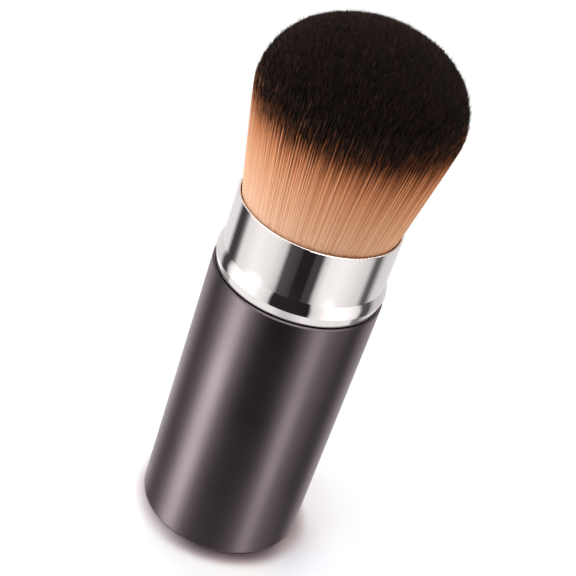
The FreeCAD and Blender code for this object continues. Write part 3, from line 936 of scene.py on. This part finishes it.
def floor_material():
    """A floor that the camera sees as white, with the shadow kept and darkest where the brush stands."""
    material = bpy.data.materials.new("floor")
    nodes = Nodes(material)
    reach = {"Distance": CONTACT_REACH * MM}
    open_sky = nodes.add("ShaderNodeAmbientOcclusion", reach, samples=CONTACT_SAMPLES)
    where = nodes.add("ShaderNodeTexCoord").outputs["Object"]
    way = nodes.vector_math("NORMALIZE", "Vector", where)
    lee_side = (math.sin(LEE_TURN), -math.cos(LEE_TURN), 0.0)
    towards = nodes.vector_math("DOT_PRODUCT", "Value", way, lee_side)
    lee = nodes.spread(towards, LEE_EDGE, LEE_CORE, smooth=True)
    closeness = nodes.spread(open_sky.outputs["AO"], CONTACT_NEAR, CONTACT_FAR)
    beam = nodes.spread(towards, BEAM_EDGE, BEAM_CORE, 0.0, BEAM_LIFT)
    contact = nodes.math("ADD", closeness, beam)
    tone = nodes.mix(lee, nodes.ramp(contact, LIT_TONES), nodes.ramp(contact, LEE_TONES))
    to_right = nodes.add("ShaderNodeSeparateXYZ", {"Vector": way}).outputs["X"]
    right = nodes.spread(to_right, FLOOR_RIGHT_EDGE, FLOOR_RIGHT_CORE, smooth=True)
    tint = nodes.mix(right, FLOOR_FRONT, FLOOR_RIGHT)
    seen = nodes.mix(1.0, tone, tint, blend_type="MULTIPLY")
    bounced = nodes.mix(1 - FLOOR_WHITE, tone, FLOOR_WARMTH)
    to_camera = nodes.add("ShaderNodeLightPath").outputs["Is Camera Ray"]
    diffuse = nodes.add("ShaderNodeBsdfDiffuse", {"Color": nodes.mix(to_camera, bounced, seen)})
    glow = nodes.add("ShaderNodeEmission", {"Color": tone})
    distance = nodes.vector_math("LENGTH", "Value", where)
    near = FLOOR_SHADOW_NEAR * MM
    far = FLOOR_SHADOW_FAR * MM
    glow_share = nodes.spread(distance, near, far, 1 - FLOOR_SHADOW, 1.0, smooth=True)
    share = nodes.math("MULTIPLY", to_camera, glow_share)
    nodes.end("ShaderNodeOutputMaterial", nodes.blend(share, diffuse, glow))
    return material


def make_floor():
    """A wide square just under the brush."""
    mesh = bpy.data.meshes.new("floor")
    reach = FLOOR_REACH * MM
    corners = [(x * reach, y * reach, -FLOOR_DROP * MM) for x, y in FLOOR_CORNERS]
    mesh.from_pydata(corners, [], [tuple(range(len(corners)))])
    mesh.materials.append(floor_material())
    floor = bpy.data.objects.new("floor", mesh)
    floor.visible_glossy = False
    bpy.context.scene.collection.objects.link(floor)


# Lamps by place, size, power and colour. The key lamp stands on the left and is cool.
KEY_COLOUR = (0.85, 1.0, 1.17)
LAMP_WHITE = (1.0, 1.0, 1.0)
LAMPS = {
    "key": {"place": (-460, -180, 380), "size": 500, "power": 3.55, "colour": KEY_COLOUR},
    "back": {"place": (-180, 420, 330), "size": 300, "power": 2.0, "colour": LAMP_WHITE},
    "side": {"place": (420, 160, 260), "size": 260, "power": 0.8, "colour": LAMP_WHITE},
}


def make_lamp(name, place, size, power, colour):
    """A square soft lamp that looks at the middle of the brush and isn't mirrored in its metal."""
    lamp = bpy.data.lights.new(name, "AREA")
    lamp.size = size * MM
    lamp.energy = power
    lamp.color = colour
    holder = bpy.data.objects.new(name, lamp)
    holder.location = Vector(place) * MM
    aim = Vector((0, 0, tuft.rim_height)) * MM
    holder.rotation_euler = (aim - holder.location).to_track_quat("-Z", "Y").to_euler()
    holder.visible_glossy = False
    bpy.context.scene.collection.objects.link(holder)


def make_camera():
    """The camera, turned by its pan and tilt and then rolled."""
    camera = bpy.data.cameras.new("camera")
    camera.lens = CAMERA_LENS
    camera.sensor_width = CAMERA_SENSOR
    holder = bpy.data.objects.new("camera", camera)
    level = math.cos(CAMERA_TILT)
    ahead = math.cos(CAMERA_PAN) * level
    forward = Vector((math.sin(CAMERA_PAN) * level, ahead, -math.sin(CAMERA_TILT)))
    right = Vector((math.cos(CAMERA_PAN), -math.sin(CAMERA_PAN), 0.0))
    up = right.cross(forward)
    cosine = math.cos(CAMERA_ROLL)
    sine = math.sin(CAMERA_ROLL)
    rolled_right = right * cosine + up * sine
    rolled_up = up * cosine - right * sine
    axes = Matrix((rolled_right, rolled_up, -forward)).transposed()
    holder.matrix_world = Matrix.Translation(Vector(CAMERA_PLACE) * MM) @ axes.to_4x4()
    bpy.context.scene.collection.objects.link(holder)
    bpy.context.scene.camera = holder


bpy.context.scene.view_settings.view_transform = "Standard"
materials = make_materials()
dress_nodes(materials)
for sector in range(SECTORS):
    make_sector(sector, materials["bristle"])
make_camera()
make_world()
make_floor()
for name, settings in LAMPS.items():
    make_lamp(name, **settings)
